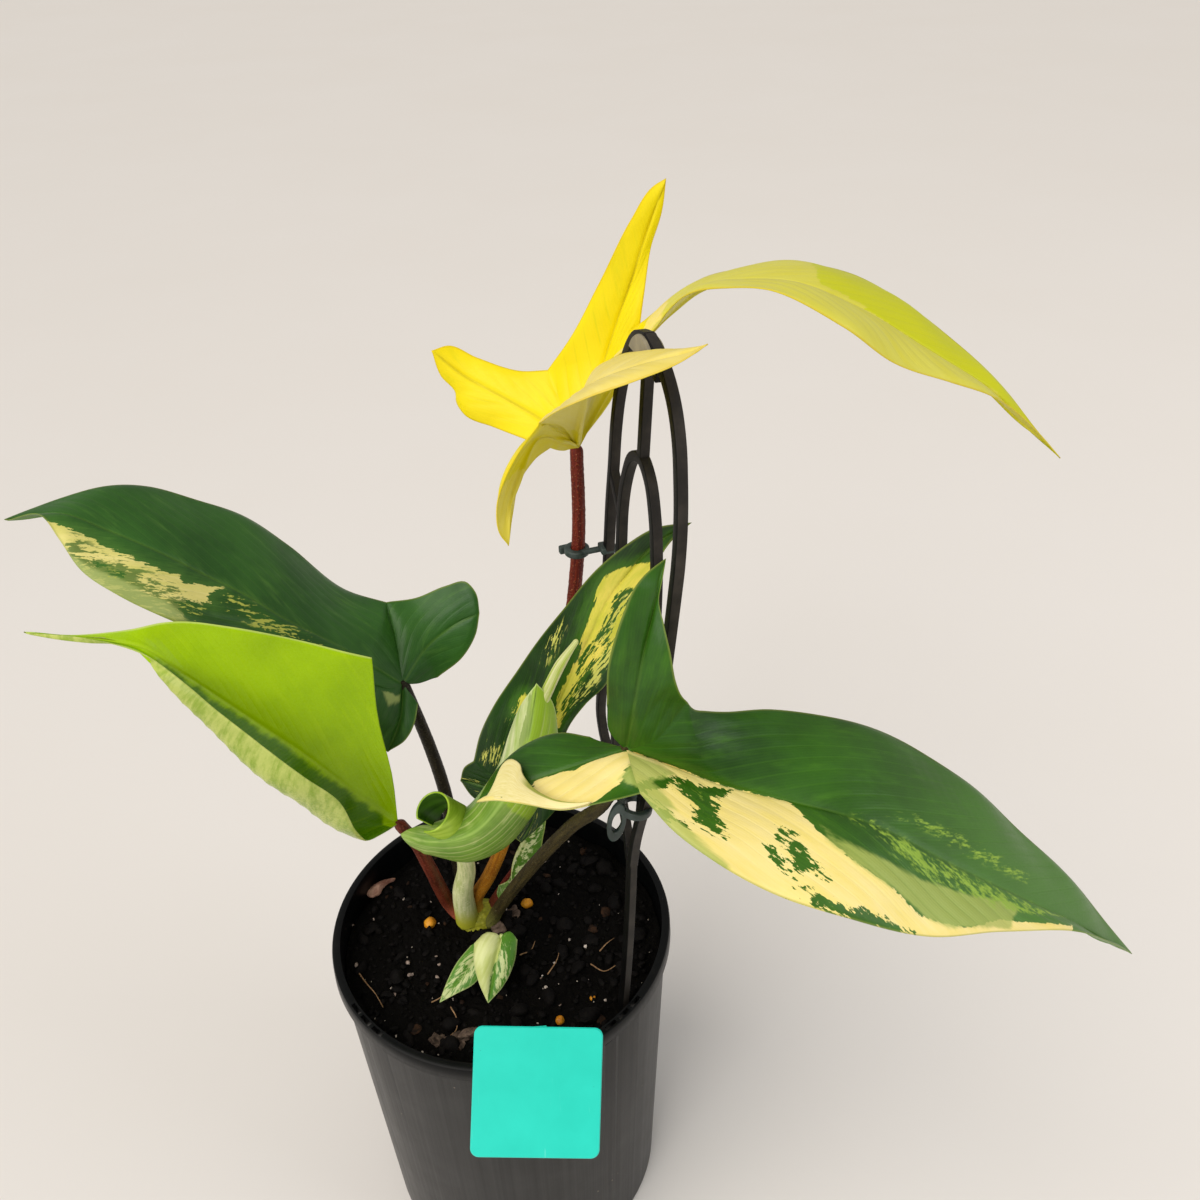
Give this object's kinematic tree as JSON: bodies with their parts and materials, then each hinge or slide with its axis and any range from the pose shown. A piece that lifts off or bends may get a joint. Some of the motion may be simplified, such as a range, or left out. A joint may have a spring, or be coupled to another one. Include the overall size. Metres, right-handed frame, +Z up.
{
  "type": "potted climbing philodendron",
  "caption": "Young climbing philodendron with lobed, variegated leaves on long stalks, tied to a small arched trellis in a black nursery pot with a plain blue-green plant label.",
  "frame": {"origin": "centre of the pot's flat base, on the surface that it stands on", "axes": "+Z up out of the pot, -Y towards the plant's front, +X to the front view's right"},
  "size_m": [0.3403, 0.1694, 0.424],
  "materials": {
    "pot": "satin, vertical streaks",
    "soil": "rough, damp",
    "crown": "satin",
    "leaf_top": "satin",
    "leaf_left": "satin",
    "leaf_front": "glossy",
    "leaf_right": "satin",
    "leaf_back": "satin",
    "leaf_new": "satin",
    "petiole_top": "rough",
    "petiole_left": "satin",
    "petiole_front": "satin",
    "petiole_right": "rough",
    "petiole_back": "satin",
    "sheath": "satin",
    "bract": "satin",
    "shoot": "satin",
    "trellis": "satin",
    "clip_upper": "satin",
    "clip_lower": "satin",
    "label": "satin"
  },
  "bodies": {
    "root": {"pot": "pot", "soil": "soil", "crown": "crown", "leaf_top": "leaf_top", "leaf_left": "leaf_left", "leaf_front": "leaf_front", "leaf_right": "leaf_right", "leaf_back": "leaf_back", "leaf_new": "leaf_new", "petiole_top": "petiole_top", "petiole_left": "petiole_left", "petiole_front": "petiole_front", "petiole_right": "petiole_right", "petiole_back": "petiole_back", "sheath": "sheath", "bract": "bract", "shoot": "shoot", "trellis": "trellis", "clip_upper": "clip_upper", "clip_lower": "clip_lower", "label": "label"}
  },
  "joints": []
}
